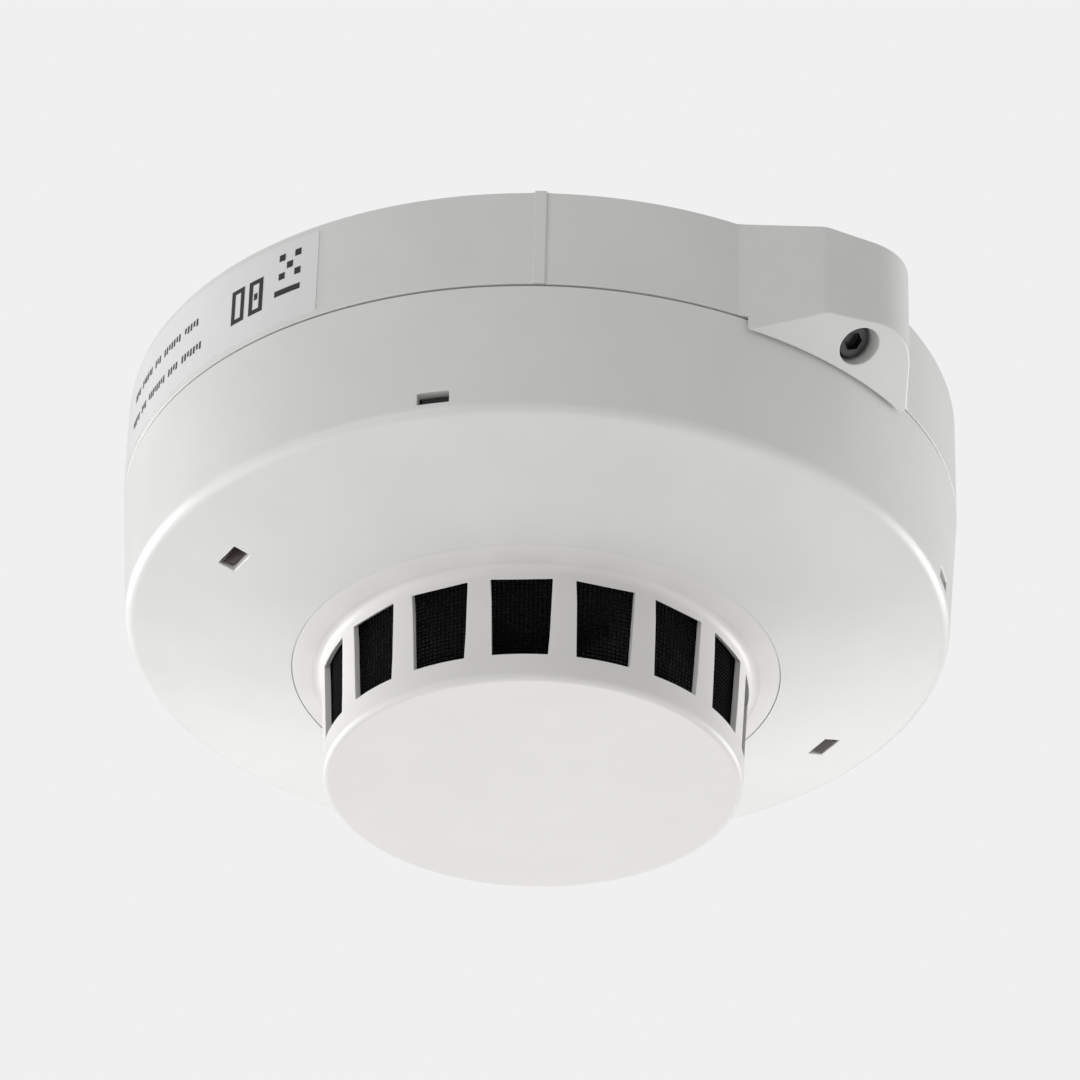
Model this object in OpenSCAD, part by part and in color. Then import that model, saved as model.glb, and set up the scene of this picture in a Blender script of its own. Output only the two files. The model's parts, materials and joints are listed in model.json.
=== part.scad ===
// Point heat detector: a twist-lock head on a surface mounting base.
// The mounting face lies in the plane z = 0 and the detector hangs below it.
// Azimuths are measured from -Y towards +X, so the front of the object faces -Y.

/* [Base] */
// Outer diameter of the base
body_d = 100; // [99:0.5:101]
// Height of the base, from the mounting face to its rim
base_h = 12.7; // [12.5:0.1:13]
// Wall thickness of the base
base_wall = 2.2; // [2:0.1:2.4]
// Thickness of the base's back plate
plate_t = 2.5; // [2:0.1:2.8]
// Radius of the cable entry
entry_r = 11; // [9:0.5:12]
// Distance between two opposite mounting slots
slot_spacing = 60; // [58:1:62]
// Radius of the mounting slots' round ends
slot_r = 2.25; // [2:0.05:2.5]
// Length of the mounting slots
slot_length = 9; // [7:0.5:10]

/* [Locking lobe] */
// Azimuth of the locking screw
screw_az = 42.3; // [41.5:0.1:43]
// Distance of the lobe's front flank from the axis
lobe_front = 44.9; // [44.6:0.1:45.2]
// Distance of the lobe's side flank from the axis
lobe_side = 42; // [41.7:0.1:42.3]
// Radius of the lobe's nose
nose_r = 8; // [7.5:0.1:8.5]
// Slope of the lobe's underside
lobe_slope = 30; // [28:1:32]
// Tilt of the locking screw from the vertical
screw_tilt = 40; // [38:1:41]

/* [Head] */
// Depth at which the head's side wall turns into its face
edge_z = 29.1; // [28.8:0.1:29.5]
// Radius at that turn
edge_r = 48.94; // [48.8:0.02:49.1]
// Slope of the face, in degrees
face_slope = 13.8; // [13.2:0.1:14.2]
// Number of snap latches, each behind a release slot
latch_count = 4; // [4:1:4]
// Azimuth of the first release slot
latch_az = -14.6; // [-20:0.1:-10]
// Azimuth of the first indicator window
window_az = -61; // [-64:1:-58]

/* [Vent cage] */
// Number of vent windows
vent_count = 16; // [12:1:16]
// Azimuth of the first vent window's middle
vent_az = -4.4; // [-8:0.1:0]
// Depth of the vent windows' upper edge
vent_top = 36.5; // [36.4:0.1:36.8]
// Depth of the vent windows' lower edge
vent_bottom = 46.06; // [45.5:0.02:46.4]
// Depth of the end cap's outer face
cap_z = 49.2; // [49:0.1:49.6]

/* [Hidden] */
$fn = 96;
gap = 0.25;
body_r = body_d / 2;
base_inner_r = body_r - base_wall;
rim_chamfer = 0.3;
rib_az = -1;
rib_w = 1.4;
rib_out = 0.35;

// Lobe outline: two square flanks, a slanting front and a round nose, blended into the ring.
nose_slant = 27;
nose_depth = 34.85;
front_blend_r = 3;
side_blend_r = 5;
blend_bite = 0.05;
skirt_drop = 2.16;
skirt_from = 26.5;
skirt_to = 55.3;
skirt_inner_r = body_r + 0.4;
lobe_wall = 2.2;
pocket_depth = 8;
screw_boss_w = 7.2;
far_r = 70;

// Locking screw, along its own axis from the mouth of its counterbore.
mouth_r = 53.45;
mouth_z = -(base_h + skirt_drop) + (mouth_r - body_r) * tan(lobe_slope);
screw_depth = 1.6;
screw_head_r = 2.1;
screw_head_h = 1.6;
screw_r = 1.5;
screw_clearance = 0.06;
socket_r = 1.15;
washer_t = 0.4;
counterbore_r = 2.4;
counterbore_depth = screw_depth + screw_head_h + washer_t;
screw_tip = 8.45;
insert_r = 2.2;
insert_l = 3.4;

// Bayonet between base and head.
lug_count = 3;
ledge_inner_r = 44.6;
ledge_top = -8.2;
ledge_t = 2;
ledge_half = 10;
lug_half = 9;
lug_outer_r = 47;
lug_bottom = -8;
collar_r = 44.2;
collar_wall = 1.8;
collar_top = -4.6;
stop_w = 2;
release_angle = 20;

// Terminals.
terminal_azs = [45, 135, 225, 315];
boss_w = 10;
boss_l = 9;
boss_r = 34.5;
boss_bottom = -6.5;
strip_t = 0.5;
strip_w = 6;
clamp_w = 7;
clamp_t = 1;
terminal_head_r = 2.9;
terminal_head_h = 2;
drive_slot_w = 0.8;
drive_slot_d = 0.9;
terminal_screw_end = -3.2;
tongue_r = 22;
tongue_z = -8.8;
blade_r = 26.3;
blade_w = 4;
blade_half = 2.4;
foot_reach = 5.8;
rivet_x = 4.1;
rivet_r = 1;
rivet_head_r = 1.5;
earth_az = 18;
earth_r = 37;
earth_w = 6;
earth_bottom = -7.5;
earth_head_r = 2.4;
earth_head_h = 1.7;

// Head shell.
head_top = -(base_h + gap);
shell_inner_r = 47.6;
edge_round = 1.6;
edge_steps = 8;
face_t = 1.9;
flange_r = 28.9;
flange_step = 0.1;
flange_gap = 0.03;
flange_seat_z = -33;
seat_gap = 0.02;
opening_r = 26.2;
seat_inner_z = -31.4;
window_r = 40.24;
window_w = 4;
window_l = 2;
pipe_sunk = 0.3;
release_z = -26.8;
release_w = 3.7;
release_h = 1.45;
chassis_r = 47.4;
chassis_plate_t = 1.8;
skirt_wall = 1.5;
skirt_end = -24;
latch_w = 3.2;
latch_end = -27.4;
latch_hook_r = 48;
latch_hook_h = 1.1;

// Circuit board and what stands on it.
board_r = 43.5;
board_t = 1.6;
board_top = -18;
board_face = board_top - board_t;
standoff_r = 2.6;
standoff_azs = [-20, 100, 220];
standoff_pcd_r = 37;
board_screw_r = 1.1;
board_head_r = 2.2;
board_head_h = 1.4;
carrier_r = 21.5;
carrier_wall = 1.5;
carrier_foot_r = 24;
carrier_foot_t = 1.4;
carrier_end = -34;
carrier_plate_r = 24.2;
carrier_plate_t = 1.6;
stem_r = 3;
stem_end = -39.5;
lead_r = 0.25;
lead_hole_r = 0.4;
lead_gap = 1.27;
bead_z = -43;
bead_r = 1.3;

// Vent cage.
cage_top_r = 25.25;
cage_bottom_r = 24.57;
cage_wall = 0.8;
cage_fillet = 1.1;
cap_t = 1.8;
cap_round = 0.8;
snap_r = 26;
snap_top = -30.4;
snap_hook_r = 26.8;
vent_half_top = 3.57;
vent_half_bottom = 3.19;
screen_gap = 0.1;
screen_t = 0.3;

// Label on the base's side.
label_from = -97;
label_to = -31.6;
label_t = 0.12;
label_top = -0.9;
label_bottom = -11.9;

shell_white = [0.92, 0.92, 0.9];
chassis_black = [0.1, 0.1, 0.1];
tin_grey = [0.72, 0.72, 0.72];
brass_yellow = [0.78, 0.66, 0.38];
board_green = [0.1, 0.35, 0.18];

function arc(c, r, from, to, steps) =
    [for (i = [0:steps]) let (a = from + (to - from) * i / steps) c + r * [cos(a), sin(a)]];

function face_z(r) = -edge_z - (edge_r - r) * tan(face_slope);

// Places its children at an azimuth, a radius and a height, with -Y pointing outwards.
module at(az, r = 0, z = 0) rotate([0, 0, az]) translate([0, -r, z]) children();

module tube(r_out, r_in, z_low, z_high) translate([0, 0, z_low]) difference() {
    cylinder(r = r_out, h = z_high - z_low);
    translate([0, 0, -1]) cylinder(r = r_in, h = z_high - z_low + 2);
}

// A piece of a ring between two azimuths.
module ring_piece(r_in, r_out, z_low, z_high, az_from, az_to) rotate([0, 0, az_from - 90])
    rotate_extrude(angle = az_to - az_from)
        translate([r_in, z_low]) square([r_out - r_in, z_high - z_low]);

// A block with its outer face at radius r, centred on its azimuth.
module block(az, r, w, l, z_low, z_high) at(az, r, z_low)
    translate([-w / 2, 0, 0]) cube([w, l, z_high - z_low]);

module slotted_hole(w_r, length, z_low, z_high) translate([0, 0, z_low]) {
    for (side = [-1, 1]) translate([side * (length / 2 - w_r), 0, 0]) cylinder(r = w_r, h = z_high - z_low);
    translate([-(length / 2 - w_r), -w_r, 0]) cube([length - 2 * w_r, 2 * w_r, z_high - z_low]);
}

// Places its children on the locking screw's axis: the origin is the mouth and +Z runs into the base.
module on_lock_axis() at(screw_az, mouth_r, mouth_z) rotate([-screw_tilt, 0, 0]) children();

// ---- base ----

module base_ring() rotate_extrude() polygon([
    [0, 0], [body_r, 0], [body_r, -base_h + rim_chamfer], [body_r - rim_chamfer, -base_h],
    [base_inner_r, -base_h], [base_inner_r, -plate_t], [0, -plate_t]]);

// Fillet between the ring and a flank that stands at a distance from the axis, drawn for a flank facing -Y.
module lobe_blend(r, flank) {
    centre_x = sqrt(pow(body_r + r - blend_bite, 2) - pow(flank + r, 2));
    on_ring = body_r / (body_r + r) * [centre_x, -flank - r];
    difference() {
        polygon([[centre_x, -flank - r], [centre_x, -flank + 1], on_ring * 0.97, on_ring]);
        translate([centre_x, -flank - r]) circle(r = r);
    }
}

// Lobe seen from below and drawn in from its outline by an inset.
module lobe_plan(inset) {
    front = lobe_front - inset;
    side = lobe_side - inset;
    nose = [lobe_side - nose_r, -nose_depth];
    slant_end = nose + (nose_r - inset) * [sin(nose_slant), -cos(nose_slant)];
    corner_x = slant_end[0] - (front + slant_end[1]) / tan(nose_slant);
    polygon([[front * 0.4, -front], [corner_x, -front], slant_end, [side, -nose_depth], [side, -side / 2]]);
    translate(nose) circle(r = nose_r - inset);
}

module lobe_outline() {
    lobe_plan(0);
    lobe_blend(front_blend_r, lobe_front);
    mirror([1, 1, 0]) lobe_blend(side_blend_r, lobe_side);
}

// Everything below the lobe's sloping underside.
module below_lobe_slope() {
    low = -(base_h + skirt_drop);
    rotate_extrude() polygon([[body_r, low], [far_r, low + (far_r - body_r) * tan(lobe_slope)],
        [far_r, low - 10], [0, low - 10], [0, low]]);
}

// Lobe, with its drop below the base's rim kept between two upright end faces.
module lobe() difference() {
    translate([0, 0, -(base_h + skirt_drop)]) union() {
        translate([0, 0, skirt_drop + 0.05]) linear_extrude(base_h - 0.05) lobe_outline();
        linear_extrude(skirt_drop + 0.5) intersection() {
            lobe_outline();
            polygon([[0, 0], for (az = [skirt_from, screw_az, skirt_to]) far_r * [sin(az), -cos(az)]]);
        }
    }
    below_lobe_slope();
    translate([0, 0, -base_h - 5]) cylinder(r = skirt_inner_r, h = 5);
    translate([0, 0, -base_h - 5]) cylinder(r = body_r - 1, h = base_h + 6);
}

// Ledges that the head's lugs slide over, each with a stop at both ends of the twist.
module bayonet_ledges() for (i = [0:lug_count - 1]) {
    az = screw_az + i * 360 / lug_count;
    overlap_r = base_inner_r + 0.5;
    locked_stop = az + lug_half + 0.4;
    released_stop = az - release_angle - lug_half - 0.4;
    ring_piece(ledge_inner_r, overlap_r, ledge_top - ledge_t, ledge_top, az - ledge_half, az + ledge_half);
    for (from = [locked_stop, released_stop - stop_w])
        ring_piece(ledge_inner_r + 0.3, overlap_r + 0.3, ledge_top - ledge_t + 0.3, -plate_t + 0.5, from, from + stop_w);
}

module terminal_bosses() {
    for (az = terminal_azs)
        block(az, boss_r + boss_l / 2, boss_w, boss_l, boss_bottom, -plate_t + 0.5);
}

module mounting_slots() for (turn = [0, 90, 180, 270])
    rotate([0, 0, turn]) translate([slot_spacing / 2, 0, 0])
        slotted_hole(slot_r, slot_length, -plate_t - 1, 1);

// Two pockets core the lobe out from the mounting face, either side of the screw's boss.
module lobe_pockets() translate([0, 0, -pocket_depth]) linear_extrude(pocket_depth + 1) difference() {
    lobe_plan(lobe_wall);
    circle(r = body_r + 0.3);
    rotate(screw_az) translate([-screw_boss_w / 2, -2 * body_r]) square([screw_boss_w, 2 * body_r]);
}

module base_housing() color(shell_white) difference() {
    union() {
        base_ring();
        lobe();
        bayonet_ledges();
        terminal_bosses();
        block(rib_az, body_r + rib_out, rib_w, 1.5, -base_h + rim_chamfer / 2, -0.1);
    }
    translate([0, 0, -plate_t - 1]) cylinder(r = entry_r, h = plate_t + 2);
    mounting_slots();
    for (az = terminal_azs) at(az, boss_r, boss_bottom - 1)
        cylinder(r = screw_r + screw_clearance, h = 1 - boss_bottom - plate_t + 1.5);
    at(earth_az, earth_r, -plate_t - 1) cylinder(r = 1.3, h = 2.2);
    lobe_pockets();
    on_lock_axis() {
        translate([0, 0, -3]) cylinder(r = counterbore_r, h = 3 + counterbore_depth);
        cylinder(r = insert_r + 0.02, h = counterbore_depth + insert_l);
        cylinder(r = screw_r + screw_clearance + 0.2, h = 12.2);
    }
}

// Four spring strips: each is clamped on its boss and ends in a tongue that the head's blade touches.
module contact_springs() color(tin_grey) for (az = terminal_azs) difference() {
    low = boss_bottom - strip_t;
    outer = boss_r + boss_l / 2 - 0.5;
    at(az) translate([strip_w / 2, 0, 0]) rotate([90, 0, -90]) linear_extrude(strip_w) polygon([
        [outer, boss_bottom], [outer, low], [28, low], [tongue_r + 2.5, tongue_z], [tongue_r + 1.2, tongue_z],
        [tongue_r, tongue_z + 1.2], [tongue_r + 0.3, tongue_z + 1.5], [tongue_r + 1.5, tongue_z + strip_t],
        [tongue_r + 2.2, tongue_z + strip_t], [27.8, boss_bottom]]);
    at(az, boss_r, low - 1) cylinder(r = screw_r + 0.1, h = 3);
}

module clamp_plates() color(brass_yellow) for (az = terminal_azs) difference() {
    top = boss_bottom - strip_t;
    union() {
        block(az, boss_r + clamp_w / 2, clamp_w, clamp_w, top - clamp_t, top - 0.02);
        for (side = [-1, 1]) at(az, boss_r, 0) translate([side * (clamp_w / 2 - 0.5) - 0.5, clamp_w / 2 - 1, top - clamp_t - 1.2])
            cube([1, 1, 1.4]);
    }
    at(az, boss_r, top - clamp_t - 1) cylinder(r = screw_r + 0.1, h = clamp_t + 2);
}

module pan_screw(head_r, head_h, shank_r, shank_l) {
    difference() {
        union() {
            translate([0, 0, -head_h * 0.6]) cylinder(r = head_r, h = head_h * 0.6);
            translate([0, 0, -head_h]) cylinder(r1 = head_r * 0.8, r2 = head_r, h = head_h * 0.4);
        }
        for (turn = [0, 90]) rotate([0, 0, turn])
            translate([-head_r * 0.6, -drive_slot_w / 2, -head_h - 1]) cube([head_r * 1.2, drive_slot_w, 1 + drive_slot_d]);
    }
    translate([0, 0, -0.1]) cylinder(r = shank_r, h = shank_l + 0.1);
}

module terminal_screws() color(tin_grey) for (az = terminal_azs) {
    seat = boss_bottom - strip_t - clamp_t;
    at(az, boss_r, seat) rotate([0, 0, az / 3])
        pan_screw(terminal_head_r, terminal_head_h, screw_r, terminal_screw_end - seat);
}

module earth_post() color(brass_yellow) difference() {
    union() {
        block(earth_az, earth_r + earth_w / 2, earth_w, earth_w, earth_bottom, -plate_t);
        at(earth_az, earth_r, -plate_t - 0.1) cylinder(r = 1.25, h = 1.2);
    }
    at(earth_az, earth_r, earth_bottom - 1) cylinder(r = 1.4, h = 4.5);
    at(earth_az, earth_r, earth_bottom + 2.2) translate([-4, -1, -1]) cube([8, 2, 2]);
}

module earth_screw() color(tin_grey) at(earth_az, earth_r, earth_bottom)
    pan_screw(earth_head_r, earth_head_h, 1.35, 3.2);

module lock_insert() color(brass_yellow) on_lock_axis() translate([0, 0, counterbore_depth]) difference() {
    cylinder(r = insert_r, h = insert_l);
    translate([0, 0, -1]) cylinder(r = screw_r + screw_clearance, h = insert_l + 2);
}

module lock_washer() color(tin_grey) on_lock_axis() translate([0, 0, counterbore_depth - washer_t]) difference() {
    cylinder(r = screw_head_r + 0.1, h = washer_t);
    translate([0, 0, -1]) cylinder(r = screw_r + screw_clearance, h = washer_t + 2);
}

// Black socket-head screw whose tip bears on a lug of the head.
module locking_screw() color(chassis_black) on_lock_axis() difference() {
    union() {
        translate([0, 0, screw_depth]) cylinder(r = screw_head_r, h = screw_head_h - 0.02);
        translate([0, 0, screw_depth + 1]) cylinder(r = screw_r, h = screw_tip - screw_depth - 1.5);
        translate([0, 0, screw_tip - 0.5]) cylinder(r1 = screw_r, r2 = screw_r - 0.4, h = 0.5);
    }
    translate([0, 0, screw_depth - 1]) cylinder(r = socket_r, h = 2.1, $fn = 6);
}

module rating_label() color("white")
    ring_piece(body_r, body_r + label_t, label_bottom, label_top, label_from, label_to);

// ---- head ----

module chassis_lugs() for (i = [0:lug_count - 1])
    ring_piece(collar_r - 1, lug_outer_r, lug_bottom, collar_top - 0.4,
        screw_az + i * 360 / lug_count - lug_half, screw_az + i * 360 / lug_count + lug_half);

module latches() for (i = [0:latch_count - 1]) {
    az = latch_az + i * 360 / latch_count;
    intersection() {
        block(az, chassis_r + 3, latch_w, 6, latch_end, skirt_end + 0.5);
        tube(chassis_r, chassis_r - skirt_wall, latch_end, skirt_end + 0.5);
    }
    intersection() {
        block(az, chassis_r + 3, latch_w, 6, release_z - latch_hook_h / 2, release_z + latch_hook_h / 2);
        tube(latch_hook_r, chassis_r - 1, latch_end, skirt_end);
    }
}

module head_chassis() color(chassis_black) difference() {
    union() {
        translate([0, 0, head_top - chassis_plate_t]) cylinder(r = chassis_r, h = chassis_plate_t);
        tube(collar_r, collar_r - collar_wall, head_top - 0.5, collar_top);
        chassis_lugs();
        tube(chassis_r, chassis_r - skirt_wall, skirt_end, head_top - 0.5);
        latches();
        for (az = standoff_azs) at(az, standoff_pcd_r, board_top)
            cylinder(r = standoff_r, h = head_top - 0.5 - board_top);
    }
    for (az = standoff_azs) at(az, standoff_pcd_r, board_top - 1) cylinder(r = board_screw_r + 0.05, h = 4.2);
    for (az = terminal_azs) at_rivets(az)
        translate([0, 0, head_top - chassis_plate_t - 1]) cylinder(r = rivet_r + 0.05, h = chassis_plate_t + 2);
}

// Four nickel-silver blades, each an arched strip on two feet that are riveted to the chassis.
module contact_blades() color(tin_grey) for (az = terminal_azs) {
    top = tongue_z - 0.1;
    low = head_top;
    inner = blade_half - strip_t;
    difference() {
        at(az, blade_r) rotate([90, 0, 0]) mirror([0, 0, 1]) linear_extrude(blade_w) polygon([
            [-foot_reach, low], [-inner, low], [-inner, top - strip_t], [inner, top - strip_t],
            [inner, low], [foot_reach, low], [foot_reach, low + strip_t], [blade_half, low + strip_t],
            [blade_half, top], [-blade_half, top], [-blade_half, low + strip_t], [-foot_reach, low + strip_t]]);
        at_rivets(az) translate([0, 0, low - 1]) cylinder(r = rivet_r + 0.05, h = 3);
    }
}

// Places its children at a blade's two rivets.
module at_rivets(az) for (side = [-1, 1]) at(az, blade_r - blade_w / 2) translate([side * rivet_x, 0, 0]) children();

// Rivets hold the blades down and carry the current through to the board.
module contact_rivets() color(brass_yellow) for (az = terminal_azs) at_rivets(az) {
    foot_top = head_top + strip_t;
    under = head_top - chassis_plate_t;
    translate([0, 0, under]) cylinder(r = rivet_r, h = foot_top - under + 0.1);
    translate([0, 0, foot_top]) cylinder(r = rivet_head_r, h = 0.5);
    translate([0, 0, board_top]) cylinder(r = rivet_r * 0.8, h = under - board_top + 0.1);
}

module circuit_board() color(board_green) difference() {
    translate([0, 0, board_face]) cylinder(r = board_r, h = board_t);
    for (az = standoff_azs) at(az, standoff_pcd_r, board_face - 1) cylinder(r = board_screw_r + 0.15, h = board_t + 2);
    for (side = [-1, 1]) translate([side * lead_gap, 0, board_face - 1]) cylinder(r = lead_hole_r, h = board_t + 2);
    for (i = [0:latch_count - 1]) block(latch_az + i * 90, board_r + 1, 7, 3, board_face - 1, board_top + 1);
}

module board_screws() color(tin_grey) for (az = standoff_azs) at(az, standoff_pcd_r, board_face)
    pan_screw(board_head_r, board_head_h, board_screw_r, 4.4);

// Black tower on the board: it closes the cage's back and carries the thermistor on a stem.
module sensor_carrier() color(chassis_black) difference() {
    union() {
        tube(carrier_foot_r, carrier_r - carrier_wall, board_face - carrier_foot_t, board_face);
        tube(carrier_r, carrier_r - carrier_wall, carrier_end, board_face - 0.5);
        translate([0, 0, carrier_end - carrier_plate_t]) cylinder(r = carrier_plate_r, h = carrier_plate_t + 0.4);
        translate([0, 0, stem_end]) cylinder(r1 = stem_r - 0.8, r2 = stem_r + 1, h = carrier_end - stem_end);
        for (turn = [0:60:300]) rotate([0, 0, turn])
            translate([stem_r - 1, -0.5, carrier_end - carrier_plate_t - 1.4]) cube([14, 1, 2]);
    }
    for (side = [-1, 1]) translate([side * lead_gap, 0, stem_end - 1]) cylinder(r = lead_hole_r, h = 10);
}

module sensing_thermistor() color(chassis_black) {
    translate([0, 0, bead_z]) sphere(r = bead_r);
    for (side = [-1, 1]) translate([side * lead_gap, 0, 0]) {
        translate([0, 0, stem_end - 1.4]) cylinder(r = lead_r, h = board_top - stem_end + 1.4);
        translate([0, 0, stem_end - 1.4]) sphere(r = lead_r);
    }
    for (side = [-1, 1]) translate([side * lead_gap, 0, stem_end - 1.4])
        rotate([0, side * -(180 - atan2(lead_gap, stem_end - 1.4 - bead_z)), 0]) cylinder(r = lead_r, h = 2.2);
}

module reference_thermistor() color(chassis_black) {
    at(130, 33) {
        translate([0, 0, board_face - 4]) sphere(r = bead_r);
        for (side = [-1, 1]) translate([side * 0.6, 0, board_face - 4]) cylinder(r = lead_r, h = 4);
    }
}

module microcontroller() color(chassis_black) at(180, 31, board_face - 1.3) difference() {
    translate([-3.5, -3.5, 0]) cube([7, 7, 1.2]);
    translate([-2.6, -2.6, -0.9]) cylinder(r = 0.4, h = 1);
}

module controller_leads() color(tin_grey) at(180, 31, 0) for (turn = [0:90:270]) rotate([0, 0, turn])
    for (i = [0:7]) translate([3.5, -2.8 + i * 0.8 - 0.15, board_face - 0.6]) {
        cube([0.7, 0.3, 0.15]);
        translate([0.55, 0, -0]) cube([0.15, 0.3, 0.6]);
        translate([0.55, 0, 0.45]) cube([0.7, 0.3, 0.15]);
    }

module smoothing_capacitor() color([0.12, 0.14, 0.3]) at(75, 34, board_face - 7) difference() {
    union() {
        cylinder(r = 3.2, h = 6.9);
        translate([-3.4, -3.4, 6.1]) cube([6.8, 6.8, 0.9]);
    }
    for (turn = [0, 90]) rotate([0, 0, turn]) translate([-2.2, -0.1, -1]) cube([4.4, 0.2, 1.2]);
}

module bridge_rectifier() color(chassis_black) at(-95, 33, board_face - 2.7)
    translate([-4, -3, 0]) cube([8, 6, 2.4]);

module rectifier_leads() color(tin_grey) at(-95, 33, board_face - 1.6) for (side = [-1, 1]) for (x = [-2.5, 2.5])
    translate([x - 0.5, side < 0 ? -4.4 : 3, 0]) {
        cube([1, 1.4, 0.3]);
        translate([0, side < 0 ? 0 : 1.1, 0]) cube([1, 0.3, 1.6]);
    }

module chips(azs, r, size) for (az = azs) at(az, r, board_face - size[2])
    translate([-size[0] / 2, -size[1] / 2, 0]) cube(size);

module chip_resistors() color(chassis_black) chips([-150, -140, -130, 150, 162, 196, 205, 214, 30, 40], 30, [2, 1.2, 0.6]);

module chip_capacitors() color([0.6, 0.5, 0.35]) chips([-145, -135, 155, 168, 200, 210, 35, 50], 34, [2, 1.25, 1.2]);

module reed_switch() color([0.75, 0.85, 0.8]) at(20, 30, board_face - 1.9)
    translate([-5.5, 0, 0]) rotate([0, 90, 0]) cylinder(r = 1.1, h = 11);

module reed_leads() color(tin_grey) at(20, 30, board_face - 1.9) for (side = [-1, 1]) {
    translate([side < 0 ? -8 : 5.5, 0, 0]) rotate([0, 90, 0]) cylinder(r = lead_r, h = 2.5);
    translate([side * (8 - lead_r), 0, 0]) cylinder(r = lead_r, h = 1.9);
}

module indicator_leds() color("darkred") for (turn = [0, 180]) at(window_az + turn, window_r, board_face - 1.9)
    translate([-1.75, -1.4, 0]) cube([3.5, 2.8, 1.9]);

// Two rectangular light pipes, each from an indicator to its window in the face.
module light_pipes() color([0.25, 0.06, 0.06]) for (turn = [0, 180]) at(window_az + turn, window_r, 0) {
    pipe_end = face_z(window_r) + pipe_sunk;
    translate([-1.8, -0.85, pipe_end]) cube([3.6, 1.7, board_face - 2.1 - pipe_end]);
    translate([-2.6, -1.8, board_face - 3.2]) cube([5.2, 3.6, 1]);
}

module back_label() color("white") translate([0, 0, head_top]) cylinder(r = 15, h = 0.15);

// Inner radius of the cage's tapered wall at a depth.
function cage_inner_r(depth) =
    cage_top_r - cage_wall - (cage_top_r - cage_bottom_r) * (depth - vent_top) / (cap_z - cap_t - vent_top);

// Fine screen pressed against the inside of the cage, between its cap and the sensor carrier.
module insect_screen() color(chassis_black) {
    top = carrier_plate_t - carrier_end + 0.02;
    bottom = cap_z - cap_t - 0.02;
    outer_top = cage_inner_r(top) - screen_gap;
    outer_bottom = cage_inner_r(bottom) - screen_gap;
    rotate_extrude() polygon([[outer_top, -top], [outer_bottom, -bottom],
        [outer_bottom - screen_t, -bottom], [outer_top - screen_t, -top]]);
}

module vent_windows() for (i = [0:vent_count - 1]) at(vent_az + i * 360 / vent_count, 0, 0)
    translate([0, -20, 0]) rotate([90, 0, 0]) linear_extrude(10) polygon([
        [-vent_half_top, -vent_top], [vent_half_top, -vent_top],
        [vent_half_bottom, -vent_bottom], [-vent_half_bottom, -vent_bottom]]);

// Cage: a flange seated in the face, sixteen bars and a flat end cap.
module vent_cage() color(shell_white) {
    flange_low = face_z(flange_r) - flange_step;
    neck_z = face_z(cage_top_r + cage_fillet) - flange_step;
    difference() {
        rotate_extrude() polygon(concat(
            [[snap_r, flange_seat_z], [flange_r - 0.05, flange_seat_z], [flange_r, flange_low + 0.25],
                [flange_r - 0.25, flange_low]],
            arc([cage_top_r + cage_fillet, neck_z - cage_fillet], cage_fillet, 90 - face_slope, 180, 6),
            arc([cage_bottom_r - cap_round, -cap_z + cap_round], cap_round, 0, -90, 6),
            [[0, -cap_z], [0, -cap_z + cap_t], [cage_inner_r(cap_z - cap_t), -cap_z + cap_t],
                [cage_inner_r(carrier_plate_t - carrier_end), carrier_end - carrier_plate_t],
                [snap_r - 1.45, flange_seat_z - 0.8], [snap_r - 1.45, flange_seat_z + 0.6],
                [snap_r, flange_seat_z + 0.6]]));
        vent_windows();
    }
    for (i = [0:3]) ring_piece(snap_r - 1.3, snap_r, flange_seat_z, snap_top, 45 + i * 90 - 8, 45 + i * 90 + 8);
    for (i = [0:3]) ring_piece(snap_r - 0.5, snap_hook_r, seat_inner_z + 0.1, snap_top, 45 + i * 90 - 8, 45 + i * 90 + 8);
}

module shell_profile() polygon(concat(
    [[shell_inner_r, head_top], [body_r - rim_chamfer, head_top], [body_r, head_top - rim_chamfer]],
    arc([edge_r - edge_round + 0.02, -edge_z + edge_round * 0.8], edge_round, 0, -(90 - face_slope), edge_steps),
    [[flange_r + flange_gap, face_z(flange_r + flange_gap)], [flange_r + flange_gap, flange_seat_z + seat_gap],
        [opening_r, flange_seat_z + seat_gap], [opening_r, seat_inner_z], [opening_r + 4, seat_inner_z],
        [shell_inner_r, face_z(shell_inner_r) + face_t]]));

module head_cover() color(shell_white) difference() {
    rotate_extrude() shell_profile();
    for (i = [0:latch_count - 1])
        block(latch_az + i * 360 / latch_count, body_r + 2, release_w, 6, release_z - release_h / 2, release_z + release_h / 2);
    for (turn = [0, 180]) block(window_az + turn, window_r + window_l / 2, window_w, window_l, face_z(window_r) - 4, face_z(window_r) + 4);
}

base_housing();
contact_springs();
clamp_plates();
terminal_screws();
earth_post();
earth_screw();
lock_insert();
lock_washer();
locking_screw();
rating_label();
head_chassis();
contact_blades();
contact_rivets();
circuit_board();
board_screws();
sensor_carrier();
sensing_thermistor();
reference_thermistor();
microcontroller();
controller_leads();
smoothing_capacitor();
bridge_rectifier();
rectifier_leads();
chip_resistors();
chip_capacitors();
reed_switch();
reed_leads();
indicator_leds();
light_pipes();
back_label();
insect_screen();
vent_cage();
head_cover();
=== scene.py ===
import json
import math

import bpy
from mathutils import Matrix, Vector


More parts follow.
